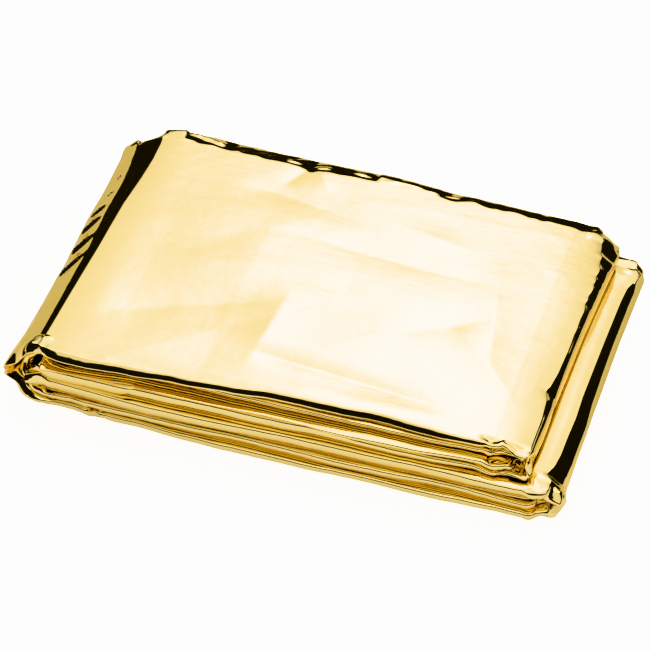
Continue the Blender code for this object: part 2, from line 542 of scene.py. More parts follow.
@dataclass(frozen=True)
class PleatedSection:
    """The strip's cross-section: two flattened loops of film, one on the other.

    Attributes:
        loop, gap: height of one fold and the clear space between two, in millimetres.
        hem: how far in a tucked back edge begins and ends, in millimetres.
        inset: how far in the link between the two folds stands, in millimetres.
        fine_steps, coarse_steps: mesh steps across the outer layer, seen and hidden.
        crowd, crowd_reach: how strongly those crowd towards both edges, and how far in.
        nose_steps, back_steps: mesh steps around a front fold and around a back one.
        run_shares: mesh lines along a hidden layer, from front (0) to back (1).
    """

    loop: float = 2.15
    gap: float = 0.15
    hem: tuple[float, float] = (4.0, 1.0)
    inset: float = 0.5
    fine_steps: int = 132
    coarse_steps: int = 6
    crowd: float = 2.2
    crowd_reach: float = 0.05
    nose_steps: int = 12
    back_steps: int = 8
    run_shares: tuple[float, ...] = (0.03, 0.3, 0.7, 0.97)

    def fold(self, top: float, bottom: float, side: int, inner: bool) -> list[SectionPoint]:
        """Points around one rounded end, from its top to its bottom, without the two.

        Args:
            top, bottom: depths of the two ends.
            side: -1 at the front, 1 at the back.
            inner: whether it belongs to the inner fold.

        Returns:
            The points.
        """
        share, steps = (0.0, self.nose_steps) if side < 0 else (1.0, self.back_steps)
        angles = (math.pi * step / steps for step in range(1, steps))
        return [SectionPoint(share, top, bottom, angle, side, 0.0, inner) for angle in angles]

    def run(self, depth: float, to_back: bool, inner: bool) -> list[SectionPoint]:
        """Points along one hidden layer."""
        shares = self.run_shares if to_back else tuple(reversed(self.run_shares))
        return [SectionPoint(share, depth, depth, inner=inner) for share in shares]

    def outer(self) -> list[SectionPoint]:
        """Points along the outer layer, from back to front.

        Returns:
            The points, marked as fine where a coarse line leaves them out.
        """
        shares = 1.0 - crowded(self.fine_steps, self.crowd, self.crowd, self.crowd_reach)
        every = self.fine_steps // self.coarse_steps
        return [
            SectionPoint(float(share), 0.0, 0.0, relief=1.0, fine=number % every != 0)
            for number, share in enumerate(shares)
        ]

    def hem_points(self, depth: float, inner: bool) -> list[SectionPoint]:
        """The tucked-in edge of the film, from its cut edge to the fold that covers it."""
        return [SectionPoint(1.0, depth, depth, inset=inset, inner=inner) for inset in self.hem]

    def points(self) -> list[SectionPoint]:
        """The whole section.

        Returns:
            Its points, from one back edge to the other.
        """
        foot = self.loop + self.gap
        deep = foot + self.loop
        hem_top, hem_low = self.loop - self.gap, foot + self.gap
        return [
            *self.hem_points(hem_top, False),
            *reversed(self.fold(0.0, hem_top, 1, False)),
            *self.outer(),
            *self.fold(0.0, self.loop, -1, False),
            *self.run(self.loop, True, False),
            SectionPoint(1.0, self.loop, foot, inset=self.inset),
            *self.run(foot, False, True),
            *self.fold(foot, deep, -1, True),
            *self.run(deep, True, True),
            *reversed(self.fold(hem_low, deep, 1, True)),
            *reversed(self.hem_points(hem_low, True)),
        ]


@dataclass(frozen=True)
class Profile:
    """A value that changes from the front of the packet to its back.

    Attributes:
        knots: pairs of a place, in millimetres from the front, and the value there.
        rag: how far it strays in the back half, in millimetres.
        rag_from, rag_over: where it begins to stray, and the distance until it does so fully.
        rag_cell, rag_seed: distance between its random heights, and their seed.
    """

    knots: tuple[tuple[float, float], ...]
    rag: float = 0.0
    rag_from: float = 34.0
    rag_over: float = 20.0
    rag_cell: float = 1.5
    rag_seed: int = 41

    def at(self, y: Array) -> Array:
        """Value at places from front to back.

        Args:
            y: the places, in millimetres.

        Returns:
            The values.
        """
        places, values = zip(*self.knots)
        rag = SheetNoise(self.rag_cell, 1.0, self.rag, self.rag_seed, Grain.FACETED).at(y, 0.0 * y)
        return np.interp(y, places, values) + rag * smooth((y - self.rag_from) / self.rag_over)


# In the four steps below a point is an array with x and z in its first axis.


def towards(here: Array, there: Array, distance: Values) -> Array:
    """The point a distance from one point on the way to another, always short of the middle.

    Args:
        here, there: the two points.
        distance: the distance.

    Returns:
        The point.
    """
    furthest_share, least_length = 0.47, 1e-6
    way = there - here
    return here + way * np.minimum(distance / np.maximum(np.hypot(*way), least_length), furthest_share)


def bent(corners: list[Array], radii: list[Values], spans: tuple[float, ...], at: Array) -> Array:
    """Points along a line with rounded corners.

    Args:
        corners: the line's corners.
        radii: how far each inner corner's curve reaches along its sides.
        spans: fractions where the straights and the curves begin, in turn.
        at: fractions along the line.

    Returns:
        The points.
    """
    line = np.zeros(np.broadcast(at, corners[0]).shape)
    leave = corners[0]
    for number, radius in enumerate(radii, start=1):
        here = corners[number]
        enter = towards(here, corners[number - 1], radius)
        low, start, end = spans[2 * number - 2 : 2 * number + 1]
        straight = blend(leave, enter, np.clip((at - low) / (start - low), 0.0, 1.0))
        leave = towards(here, corners[number + 1], radius)
        t = np.clip((at - start) / (end - start), 0.0, 1.0)
        curve = (1 - t) ** 2 * enter + 2 * t * (1 - t) * here + t**2 * leave
        line = np.where(at >= low, np.where(at <= start, straight, curve), line)
    low, end = spans[-2:]
    straight = blend(leave, corners[-1], np.clip((at - low) / (end - low), 0.0, 1.0))
    return np.where(at > low, straight, line)


def nested(
    corners: list[Array], low: Values, high: Values, root: float, spread: float, depth: Array
) -> tuple[list[Array], Array]:
    """The corners of a turn, moved inward by a depth.

    Args:
        corners: its outer corners, the foremost one in the middle.
        low, high: heights of its two faces.
        root: x where it begins.
        spread: how much further its tip moves than its faces do.
        depth: distance inward.

    Returns:
        The moved corners, and the share of the turn's height that is left.
    """
    least_half, least_reach, least_share = 0.12, 0.5, 0.1
    middle, half = (low + high) / 2.0, (high - low) / 2.0
    keep = np.maximum(half - depth, least_half) / half
    furthest = np.maximum(np.abs(corners[len(corners) // 2][0] - root), least_reach)
    narrow = np.maximum(1.0 - spread * depth / furthest, least_share)
    moved = [np.stack((root + (x - root) * narrow, middle + (z - middle) * keep)) for x, z in corners]
    return moved, keep


@dataclass(frozen=True)
class Face:
    """Height of one pass's outer face, which slopes along the packet and is crowned across.

    Attributes:
        left, right: its heights at its two ends, in millimetres.
        crown: how much higher its middle line is than its sides.
        begin, length: x of its left end, and the distance to its right end.
    """

    left: float
    right: float
    crown: float
    begin: float = 10.3
    length: float = 119.6

    def at(self, x: Values, share: Array) -> Array:
        """Heights at x and at places from front (0) to back (1)."""
        arch = np.sin(math.pi * np.clip(share, 0.0, 1.0))
        return blend(self.left, self.right, (x - self.begin) / self.length) + self.crown * arch


@dataclass(frozen=True)
class Spots:
    """Arrays of places in one part of the strip.

    Attributes:
        at: fractions along the part.
        share: places from front (0) to back (1).
        depth: distances inside the strip's outer face, in millimetres.
        y: the shares' places, in millimetres from the front.
    """

    at: Array
    share: Array
    depth: Array
    y: Array


@dataclass(frozen=True)
class SideTurn:
    """A right-hand turn: a slanting face at its top edge, a side, and a rounded heel, in millimetres.

    Attributes:
        start: x where it begins.
        foot: height of its foremost line above its lower face.
        bends: how far the curves reach along their sides, from the top edge to the heel.
        spans: fractions where its straights and curves begin, in turn.
        tilt: slope of the slanting face.
    """

    start: float
    foot: float
    bends: tuple[float, ...]
    spans: tuple[float, ...]
    tilt: float = math.radians(39.0)

    def points(self, on: Spots, faces: tuple[Array, Array], edges: tuple[Values, ...]) -> Array:
        """Points of the turn.

        Args:
            on: where they are.
            faces: heights of its lower and upper faces.
            edges: x of its top edge, width of the slanting face, x of its foremost line, and x of its heel.

        Returns:
            The points.
        """
        (low, high), (crease, width, tip, heel) = faces, edges
        flat = 0.0 * (low + on.depth)
        outline = (
            (self.start, high),
            (crease, high),
            (crease + width * math.cos(self.tilt), high - width * math.sin(self.tilt)),
            (tip, low + self.foot),
            (heel, low),
            (self.start, low),
        )
        corners = [np.stack((x + flat, z + flat)) for x, z in outline]
        moved, keep = nested(corners, low, high, self.start, 1.0, on.depth)
        return bent(moved, [bend * keep for bend in self.bends], self.spans, on.at)


@dataclass(frozen=True)
class PacketForm:
    """The folded strip's path seen from the front, in millimetres.

    Attributes:
        top, second, third: outer faces of the top pass and of the two inner passes.
        crease: x of the crease where the left wrap meets the top.
        shoulder, shoulder_tilt: width and slope of the slanting face beside that crease.
        belly, belly_tilt: the same of the face below that one.
        wrap_nose, nose_z: x and height of the wrap's foremost line.
        heel_x, wrap_start_x, wrap_end_x: x of the wrap's heel, and where it begins and ends.
        wrap_spans, wrap_spread: its spans and its spread, as in bent and nested.
        wrap_bend, crest_bend: how far its curves reach, and the one at the top crease.
        shoulder_bend: the same below the slanting face, plain and for each millimetre of its width.
        upper_crease, upper_side: x of the top's right-hand crease, and of the slanting face's other edge.
        upper_lean, upper_heel: how far the side leans back at its foot, and the heel behind that.
        lower_crease, lower_shoulder: x of the step's right-hand crease, and its slanting face's width.
        lower_tip, lower_heel: x of the lower turn's side, and of its heel.
        second_end, third_end: x of the free ends of the two inner passes.
        end_spread: how much further back the third one lies for each millimetre of depth.
    """

    top: Face = Face(20.9, 19.2, 0.3)
    second: Face = Face(10.3, 9.95, 0.2)
    third: Face = Face(10.4, 10.05, 0.3)
    crease: Profile = Profile(
        (
            (0, 9.2), (24, 9.7), (39, 9.95), (55, 10.05), (66, 10.8), (74, 11.1), (80, 10.8), (84, 10.3),
            (88, 10),
        )
    )
    shoulder: Profile = Profile(
        (
            (-1, 5.2), (1, 4.2), (3.5, 2.1), (5, 2), (18, 2.3), (30, 2.9), (39, 3.3), (45, 4), (55, 4.9),
            (66, 6), (74, 7.2), (80, 7.8), (86, 8),
        )
    )
    shoulder_tilt: float = math.radians(27.0)
    belly: Profile = Profile(((0, 11.5), (5, 10), (12, 8), (60, 8.6), (80, 6.5)))
    belly_tilt: float = math.radians(42.5)
    wrap_nose: Profile = Profile(((0, -2.2), (12, -1.6), (40, -1.2), (70, -1.8), (86, -2)))
    nose_z: float = 8.2
    heel_x: float = 4.6
    wrap_start_x: float = 12.0
    wrap_end_x: float = 16.0
    wrap_spans: tuple[float, ...] = (0.0, 0.08, 0.16, 0.22, 0.34, 0.40, 0.54, 0.62, 0.70, 0.82, 0.88, 1.0)
    wrap_bend: float = 3.0
    crest_bend: float = 0.3
    shoulder_bend: tuple[float, float] = (0.35, 0.04)
    wrap_spread: float = 1.32
    upper_turn: SideTurn = SideTurn(
        123.6, 0.5, (0.35, 0.9, 0.3, 0.3), (0.0, 0.14, 0.24, 0.34, 0.44, 0.62, 0.74, 0.80, 0.90, 1.0)
    )
    upper_crease: Profile = Profile(
        (
            (0, 128.5), (14, 128.5), (20.5, 127.9), (23.5, 126.9), (25, 127.6), (30, 128.3), (38, 128.7),
            (52, 128.9), (58, 128.5), (60, 129), (69, 128.6), (74, 127.9), (80, 126.4), (86, 125.4),
        ),
        0.28,
    )
    upper_side: Profile = Profile(
        (
            (0, 129.6), (14, 130.1), (20, 130.1), (24, 130), (28, 130.1), (40, 130.3), (52, 130.6),
            (61, 131), (69, 131.4), (74, 131.8), (80, 132.1), (86, 131.8),
        )
    )
    upper_lean: float = 0.6
    upper_heel: float = 0.5
    lower_turn: SideTurn = SideTurn(
        127.5, 4.2, (0.35, 0.6, 2.2, 2.2), (0.0, 0.18, 0.28, 0.38, 0.46, 0.56, 0.70, 0.78, 0.90, 1.0)
    )
    lower_crease: Profile = Profile(
        (
            (0, 133.4), (4, 132.9), (6, 131.5), (9, 132.6), (13, 133.1), (19, 133.2), (26, 133.5),
            (34, 133.3), (50, 133.6), (69, 134.1), (74, 134.5), (77, 135.6), (80, 136), (81.5, 134.5),
            (86, 134.9),
        )
    )
    lower_shoulder: Profile = Profile(
        (
            (0, 4), (5, 5.2), (8, 4.2), (23, 4), (33, 3.5), (44, 3.1), (53, 2.9), (67, 2.8), (74, 2.5),
            (77, 0.8), (80, 0.9), (82, 2.6), (86, 2.4),
        )
    )
    lower_tip: Profile = Profile(((0, 136.9), (20, 136.6), (60, 136.9), (78, 137.4), (86, 137.2)))
    lower_heel: float = 132.0
    second_end: float = 5.4
    third_end: float = 5.0
    end_spread: float = 0.95

    def wrap(self, on: Spots) -> Array:
        """Points of the left wrap, from the bottom, round its foremost line, to the top.

        Args:
            on: where they are.

        Returns:
            The points.
        """
        high = self.top.at(self.top.begin, on.share)
        crease, width, belly = self.crease.at(on.y), self.shoulder.at(on.y), self.belly.at(on.y)
        flat = 0.0 * (on.share + on.depth)
        edge = crease - width * math.cos(self.shoulder_tilt)
        drop = high - width * math.sin(self.shoulder_tilt)
        outline = (
            (self.wrap_start_x, 0.0),
            (self.heel_x, 0.0),
            (self.wrap_nose.at(on.y), self.nose_z),
            (edge - belly * math.cos(self.belly_tilt), drop - belly * math.sin(self.belly_tilt)),
            (edge, drop),
            (crease, high),
            (self.wrap_end_x, high),
        )
        corners = [np.stack((x + flat, z + flat)) for x, z in outline]
        moved, keep = nested(corners, 0.0, high, self.wrap_end_x, self.wrap_spread, on.depth)
        moved[0] = np.stack((self.wrap_start_x + flat, on.depth + flat))
        moved[-1] = np.stack((self.wrap_end_x + flat, self.top.at(self.wrap_end_x, on.share) - on.depth))
        plain, for_width = self.shoulder_bend
        bends = (*(self.wrap_bend,) * 3, plain + for_width * width, self.crest_bend)
        return bent(moved, [bend * keep for bend in bends], self.wrap_spans, on.at)

    def point(self, part: Part, on: Spots) -> tuple[Array, Array] | Array:
        """x and z of points of one part of the strip.

        Args:
            part: the part.
            on: where they are.

        Returns:
            x and z arrays.
        """
        low_x, up_x = self.lower_turn.start, self.upper_turn.start
        flat = 0.0 * on.share
        if part is Part.SECOND_PASS:
            x = blend(self.second_end + flat, low_x, on.at)
            return x, self.second.at(x, on.share) - on.depth
        if part is Part.LOWER_TURN:
            profiles = self.lower_crease, self.lower_shoulder, self.lower_tip
            edges = (*(profile.at(on.y) for profile in profiles), self.lower_heel)
            return self.lower_turn.points(on, (flat, self.second.at(low_x, on.share)), edges)
        if part is Part.FIRST_PASS:
            return blend(low_x, self.wrap_start_x, on.at) + flat, on.depth + flat
        if part is Part.LEFT_WRAP:
            return self.wrap(on)
        if part is Part.TOP_PASS:
            x = blend(self.wrap_end_x, up_x, on.at) + flat
            return x, self.top.at(x, on.share) - on.depth
        if part is Part.UPPER_TURN:
            crease, side = self.upper_crease.at(on.y), self.upper_side.at(on.y)
            width, tip = (side - crease) / math.cos(self.upper_turn.tilt), side - self.upper_lean
            faces = self.third.at(up_x, on.share), self.top.at(up_x, on.share)
            return self.upper_turn.points(on, faces, (crease, width, tip, tip - self.upper_heel))
        x = blend(up_x, self.third_end + self.end_spread * on.depth, on.at)
        return x, self.third.at(x, on.share) + on.depth


@dataclass(frozen=True)
class FoldWaver:
    """How far one long fold strays from its stations, in millimetres.

    Attributes:
        seed: seed of its random heights.
        scales: length, height and grain of each scale that it strays at.
    """

    seed: int
    scales: tuple[tuple[float, float, Grain], ...] = (
        (17.0, 0.30, Grain.SOFT),
        (4.3, 0.10, Grain.FACETED),
        (1.3, 0.05, Grain.FACETED),
    )

    def at(self, along: Array) -> Array:
        """Stray at distances along the strip.

        Args:
            along: the distances, one for each mesh line.

        Returns:
            The stray, as a column.
        """
        total = 0.0
        for number, (length, height, grain) in enumerate(self.scales):
            noise = SheetNoise(length, 1.0, height, self.seed + number, grain)
            total = total + noise.at(along, 0.0 * along)
        return total[:, None]


@dataclass
class FoilBlanket:
    """The folded sheet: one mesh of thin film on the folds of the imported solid.

    Attributes:
        reliefs: relief of the outer layer, its creases among it.
        crumples: crushed corners.
        form, section: the strip's path seen from the front, and its cross-section.
        outer_stray, inner_stray, back_stray: how the two front folds and the back ones stray.
        zero_x, zero_y: how far the packet stands out of x = 0 and y = 0, in millimetres.
        reach: how far a fold stands out of its layers, in millimetres.
        lip_tip, fold_tip, back_tip: how far down a front fold with a lip, a plain one and a back fold
            stand out most, from 0 to 1.
        boxy, slanting, under: powers of a fold's curve, plain, above a lip, and below one; 1 is round.
        plain_lip: the lip from which a fold no longer takes the plain outline at all.
    """

    reliefs: tuple[SheetNoise | FarSlope | Patch | Crease, ...]
    crumples: tuple[Crumple, ...]
    form: PacketForm = PacketForm()
    section: PleatedSection = PleatedSection()
    outer_stray: FoldWaver = FoldWaver(11)
    inner_stray: FoldWaver = FoldWaver(23)
    back_stray: FoldWaver = FoldWaver(37)
    zero_x: float = 1.2
    zero_y: float = 1.4
    reach: float = 1.7
    lip_tip: float = 0.78
    fold_tip: float = 0.38
    back_tip: float = 0.5
    boxy: float = 1.0
    slanting: float = 1.65
    under: float = 1.6
    plain_lip: float = 0.5

    def lines(self) -> list[Line]:
        """Every mesh line across the strip, those that two parts share counted once."""
        first, *rest = (stretch.lines() for stretch in STRETCHES)
        return first + [line for lines in rest for line in lines[1:]]

    def stations(self, lines: list[Line]) -> Columns:
        """Values of the strip at each mesh line, eased between the rows of the tables.

        Args:
            lines: the mesh lines.

        Returns:
            The values by name, each as a column.
        """
        places = np.array([line.part.value + line.at for line in lines])
        knots = positions(STATIONS)
        knots = knots + np.arange(len(knots)) * 1e-6
        after = np.clip(np.searchsorted(knots, places), 1, len(knots) - 1)
        t = smooth((places - knots[after - 1]) / (knots[after] - knots[after - 1]))
        values = {}
        for name in ("front", "tuck", "back", "lip", "nose"):
            row = column(STATIONS, name)
            values[name] = blend(row[after - 1], row[after], t)[:, None]
        for name in ("whole", "outer"):
            values[name] = np.interp(places, positions(LAYERS), column(LAYERS, name))[:, None]
        values["upside"] = smooth(np.interp(places, range(len(FACE_DOWN)), FACE_DOWN))[:, None]
        return values

    def distances(self, lines: list[Line]) -> Array:
        """Distance along the strip of each mesh line, equal to x where the top begins.

        Args:
            lines: the mesh lines.

        Returns:
            The distances, in millimetres.
        """
        middle = np.full((len(lines), 1), 0.5)
        x, z = self.path(lines, middle, 0.0 * middle, STRIP_WIDTH * middle)
        steps = np.hypot(np.diff(x[:, 0]), np.diff(z[:, 0]))
        along = np.concatenate(((0.0,), np.cumsum(steps)))
        start = next(number for number, line in enumerate(lines) if line.part is Part.TOP_PASS)
        return along - along[start] + x[start, 0]

    def path(self, lines: list[Line], share: Array, depth: Array, y: Array) -> tuple[Array, Array]:
        """x and z of every point, part by part.

        Args:
            lines: the mesh lines.
            share, depth, y: the points, as in Spots, one row for each mesh line.

        Returns:
            x and z arrays.
        """
        x, z = np.zeros(share.shape), np.zeros(share.shape)
        for part in Part:
            rows = [number for number, line in enumerate(lines) if line.part is part]
            at = np.array([lines[number].at for number in rows])[:, None]
            x[rows], z[rows] = self.form.point(part, Spots(at, share[rows], depth[rows], y[rows]))
        return x, z

    def folds(self, point: Columns, line: Columns) -> tuple[Array, Array, Array]:
        """How each point lies on its fold.

        Args:
            point: values of the section's points by name, each as a row.
            line: values of the mesh lines by name, each as a column.

        Returns:
            How far down its fold each point is, from 0 to 1; how far it stands out of its layers, in
            millimetres; and how far the layers of an outer front fold keep back for it.
        """
        front_fold = point["side"] < 0
        outer_front = (point["inner"] < 0.5) & (point["share"] < 0.5)
        lip = line["lip"] * outer_front * front_fold
        nose = np.maximum(line["nose"], self.reach * (1.0 - line["lip"]))
        reach = np.where(outer_front, nose, self.reach)
        angle = point["angle"]
        upper = angle <= math.pi / 2.0
        power = np.where(upper & front_fold, blend(self.boxy, self.slanting, lip), self.boxy)
        power = np.where(front_fold & ~upper, self.under, power)
        tip = blend(np.where(front_fold, self.fold_tip, self.back_tip), self.lip_tip, lip)
        level = np.abs(np.cos(angle)) ** power
        drop = np.where(upper, tip * (1.0 - level), tip + (1.0 - tip) * level)
        swing = reach * np.abs(np.sin(angle)) ** power
        # a front fold without a lip takes its own outline, which stays the right way up as the strip turns
        plain = np.where(front_fold, 1.0 - smooth(lip / self.plain_lip), 0.0)
        steps = np.linspace(0.0, math.pi, len(FOLD_BACK))
        (down, back), (down_over, back_over) = (
            [np.interp(around, steps, table) for table in (FOLD_DROP, FOLD_BACK)]
            for around in (angle, math.pi - angle)
        )
        own_drop = blend(down, 1.0 - down_over, line["upside"])
        own_back = blend(back, back_over, line["upside"])
        return blend(drop, own_drop, plain), blend(swing, reach - own_back, plain), nose

    def depths(self, point: Columns, line: Columns, drop: Array) -> Array:
        """Distance of each point inside the strip's outer face.

        Args:
            point, line: values as in folds.
            drop: how far down its fold each point is, from 0 to 1.

        Returns:
            The distances, in millimetres.
        """
        down = np.where(point["side"] == 0, 0.5, drop)
        depth = point["top"] + (point["bottom"] - point["top"]) * down
        loop, gap = self.section.loop, self.section.gap
        whole, outer = line["whole"], line["outer"]
        inside = outer + gap + (depth - loop - gap) * (whole - outer - gap) / loop
        return np.where(depth <= loop, depth * outer / loop, inside)

    def places(self) -> tuple[list[list[int]], Array]:
        """Where each point of the sheet lies.

        Returns:
            For each mesh line the points of the section that it keeps, and all places in millimetres,
            in rows for the lines and columns for the points of the section.
        """
        lines = self.lines()
        points = self.section.points()
        along = self.distances(lines)
        line = self.stations(lines)
        point = {
            name: np.array([float(getattr(each, name)) for each in points])[None, :]
            for name in ("share", "top", "bottom", "angle", "side", "inset", "inner", "relief")
        }
        drop, swing, nose = self.folds(point, line)
        depth = self.depths(point, line, drop)
        outer_stray, inner_stray = self.outer_stray.at(along), self.inner_stray.at(along)
        front = line["front"] + outer_stray
        front = front + point["inner"] * (line["tuck"] + inner_stray - outer_stray)
        back = line["back"] + self.back_stray.at(along)
        base = np.where(point["inner"] > 0.5, self.reach, nose)
        y = blend(front + base, back - self.reach - point["inset"], point["share"])
        y = y + point["side"] * swing
        share = np.broadcast_to(point["share"], y.shape)
        raised = np.where((point["side"] != 0) & (point["top"] == 0.0), 1.0 - drop, point["relief"])
        across_all = np.broadcast_to(along[:, None], y.shape)
        relief = sum(piece.at(across_all, y) for piece in self.reliefs) * raised
        x, z = self.path(lines, share, depth - relief, y)
        coarse = [number for number, each in enumerate(points) if not each.fine]
        kept = [list(range(len(points))) if each.fine else coarse for each in lines]
        places = np.stack((x, y, z), axis=-1)
        places = places + sum(crumple.shift(places) for crumple in self.crumples)
        places[..., 2] = np.maximum(places[..., 2], 0.0)
        return kept, places

    def faces(self, kept: list[list[int]]) -> tuple[list[tuple[int, int]], list[tuple[int, ...]]]:
        """Points in use and the faces between them; a coarse line meets a fine one in wide faces.

        Args:
            kept: for each mesh line, the points of the section that it keeps.

        Returns:
            The line and section point of each vertex, and the faces as vertex numbers.
        """
        used, number = [], []
        for line, columns in enumerate(kept):
            number.append({column: len(used) + n for n, column in enumerate(columns)})
            used.extend((line, column) for column in columns)
        faces = []
        for line in range(len(kept) - 1):
            here, there = number[line], number[line + 1]
            shared = [column for column in kept[line] if column in there]
            for low, high in zip(shared, shared[1:]):
                near = [here[c] for c in range(low, high + 1) if c in here]
                far = [there[c] for c in range(high, low - 1, -1) if c in there]
                faces.append(tuple(near + far))
        return used, faces

    def build(self, finish: "FoilFinish") -> None:
        """Args:
            finish: finish of the film.
        """
        kept, places = self.places()
        used, faces = self.faces(kept)
        rows = np.array(used)
        corner = CAD_BOX[0]
        origin = np.array((corner[0] / MM + self.zero_x, corner[1] / MM + self.zero_y, corner[2] / MM))
        vertices = (places[rows[:, 0], rows[:, 1]] + origin) * MM
        mesh = bpy.data.meshes.new("folded_foil")
        mesh.from_pydata(vertices.tolist(), [], faces)
        mesh.update()
        mesh.shade_smooth()
        mesh.materials.append(finish.material())
        sheet = placed("folded_foil", mesh)
        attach(sheet, BODY)
        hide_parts(NODE)


class NodeKit:
    """Small helper that adds the nodes of one tree and links them."""

    def __init__(self, tree: bpy.types.NodeTree) -> None:
        """Keep the node tree."""
        self.tree = tree

    def fill(self, node: bpy.types.Node, values: dict) -> bpy.types.Node:
        """Fill a node's inputs.

        Args:
            node: the node.
            values: by each input's name or number, the socket to link to it or its value.

        Returns:
            The node.
        """
        for name, value in values.items():
            if isinstance(value, Socket):
                self.tree.links.new(value, node.inputs[name])
            else:
                node.inputs[name].default_value = value
        return node

    def add(self, kind: str, values: dict | None = None, **settings: object) -> bpy.types.Node:
        """Add a node.

        Args:
            kind: its type.
            values: what goes to its inputs.
            settings: its own settings.

        Returns:
            The node.
        """
        node = self.tree.nodes.new(kind)
        for name, value in settings.items():
            setattr(node, name, value)
        return self.fill(node, values or {})

    def math(self, operation: str, *values: float | Socket) -> Socket:
        """Add a Math node on sockets or numbers and return its output."""
        return self.add("ShaderNodeMath", dict(enumerate(values)), operation=operation).outputs[0]

    def dot(self, vector: Socket, axis: Vector) -> Socket:
        """Add a dot product of a vector with a fixed axis and return it."""
        node = self.add("ShaderNodeVectorMath", {0: vector, 1: axis}, operation="DOT_PRODUCT")
        return node.outputs["Value"]

    def ramp(self, value: Socket, span: tuple, result: tuple, kind: str = "LINEAR") -> Socket:
        """Map a value from one range to another.

        Args:
            value: socket to map.
            span, result: its range and the result's, as numbers or sockets.
            kind: interpolation.

        Returns:
            The mapped socket.
        """
        names = "Value", "From Min", "From Max", "To Min", "To Max"
        values = dict(zip(names, (value, *span, *result)))
        return self.add("ShaderNodeMapRange", values, interpolation_type=kind).outputs[0]


@dataclass(frozen=True)
class FoilFinish:
    """Mirror-bright gold metallised film with fine handling wrinkles.

    Attributes:
        color, pale, edge: colours of the film, of its paler patches, and at a grazing angle, linear.
        roughness: roughness of the film, smooth and scuffed.
        streaks: wrinkles along the folds: how fine, their height in metres, and how drawn out.
        wrinkles: the same all over.
        detail: how much finer detail both have.
        scuffs, scuff_detail: how fine the scuffs are, and their finer detail.
        scuffed: the scuff mask where the film is smooth and where it is fully scuffed.
    """

    color: tuple[float, float, float, float] = (0.86, 0.67, 0.25, 1.0)
    pale: tuple[float, float, float, float] = (0.89, 0.67, 0.27, 1.0)
    edge: tuple[float, float, float, float] = (0.95, 0.80, 0.46, 1.0)
    roughness: tuple[float, float] = (0.05, 0.11)
    streaks: tuple[float, float, float] = (330.0, 0.000028, 0.08)
    wrinkles: tuple[float, float, float] = (170.0, 0.00006, 0.8)
    detail: float = 3.0
    scuffs: float = 60.0
    scuff_detail: float = 5.0
    scuffed: tuple[float, float] = (0.4, 0.75)

    def relief(self) -> bpy.types.NodeTree:
        """Build the film's fine relief.

        Returns:
            A node group that gives a normal and a scuff mask.
        """
        tree = bpy.data.node_groups.new("film_relief", "ShaderNodeTree")
        tree.interface.new_socket("Normal", in_out="OUTPUT", socket_type="NodeSocketVector")
        tree.interface.new_socket("Scuff", in_out="OUTPUT", socket_type="NodeSocketFloat")
        kit = NodeKit(tree)
        out = kit.add("NodeGroupOutput")
        place = kit.add("ShaderNodeTexCoord").outputs["Object"]
        normal = {}
        for fine, height, stretch in (self.streaks, self.wrinkles):
            mapping = kit.add("ShaderNodeMapping", {"Vector": place, "Scale": (fine * stretch, fine, fine)})
            grain = {"Vector": mapping.outputs[0], "Scale": 1.0, "Detail": self.detail}
            noise = kit.add("ShaderNodeTexNoise", grain)
            bump = kit.add("ShaderNodeBump", {"Height": noise.outputs[0], "Distance": height, **normal})
            normal = {"Normal": bump.outputs[0]}
        grain = {"Vector": place, "Scale": self.scuffs, "Detail": self.scuff_detail}
        scuff = kit.add("ShaderNodeTexNoise", grain)
        kit.fill(out, {**normal, "Scuff": scuff.outputs[0]})
        return tree

    def material(self) -> bpy.types.Material:
        """Build the film's material.

        Returns:
            The material.
        """
        material = bpy.data.materials.new("gold_foil")
        material.use_nodes = True
        kit = NodeKit(material.node_tree)
        relief = kit.add("ShaderNodeGroup", node_tree=self.relief())
        scuff = relief.outputs["Scuff"]
        colors = {"Factor": scuff, "A": self.color, "B": self.pale}
        tint = kit.add("ShaderNodeMix", colors, data_type="RGBA")
        film = {
            "Base Color": tint.outputs["Result"],
            "Metallic": 1.0,
            "Roughness": kit.ramp(scuff, self.scuffed, self.roughness),
            "Specular Tint": self.edge,
            "Normal": relief.outputs["Normal"],
        }
        kit.fill(material.node_tree.nodes["Principled BSDF"], film)
        return material


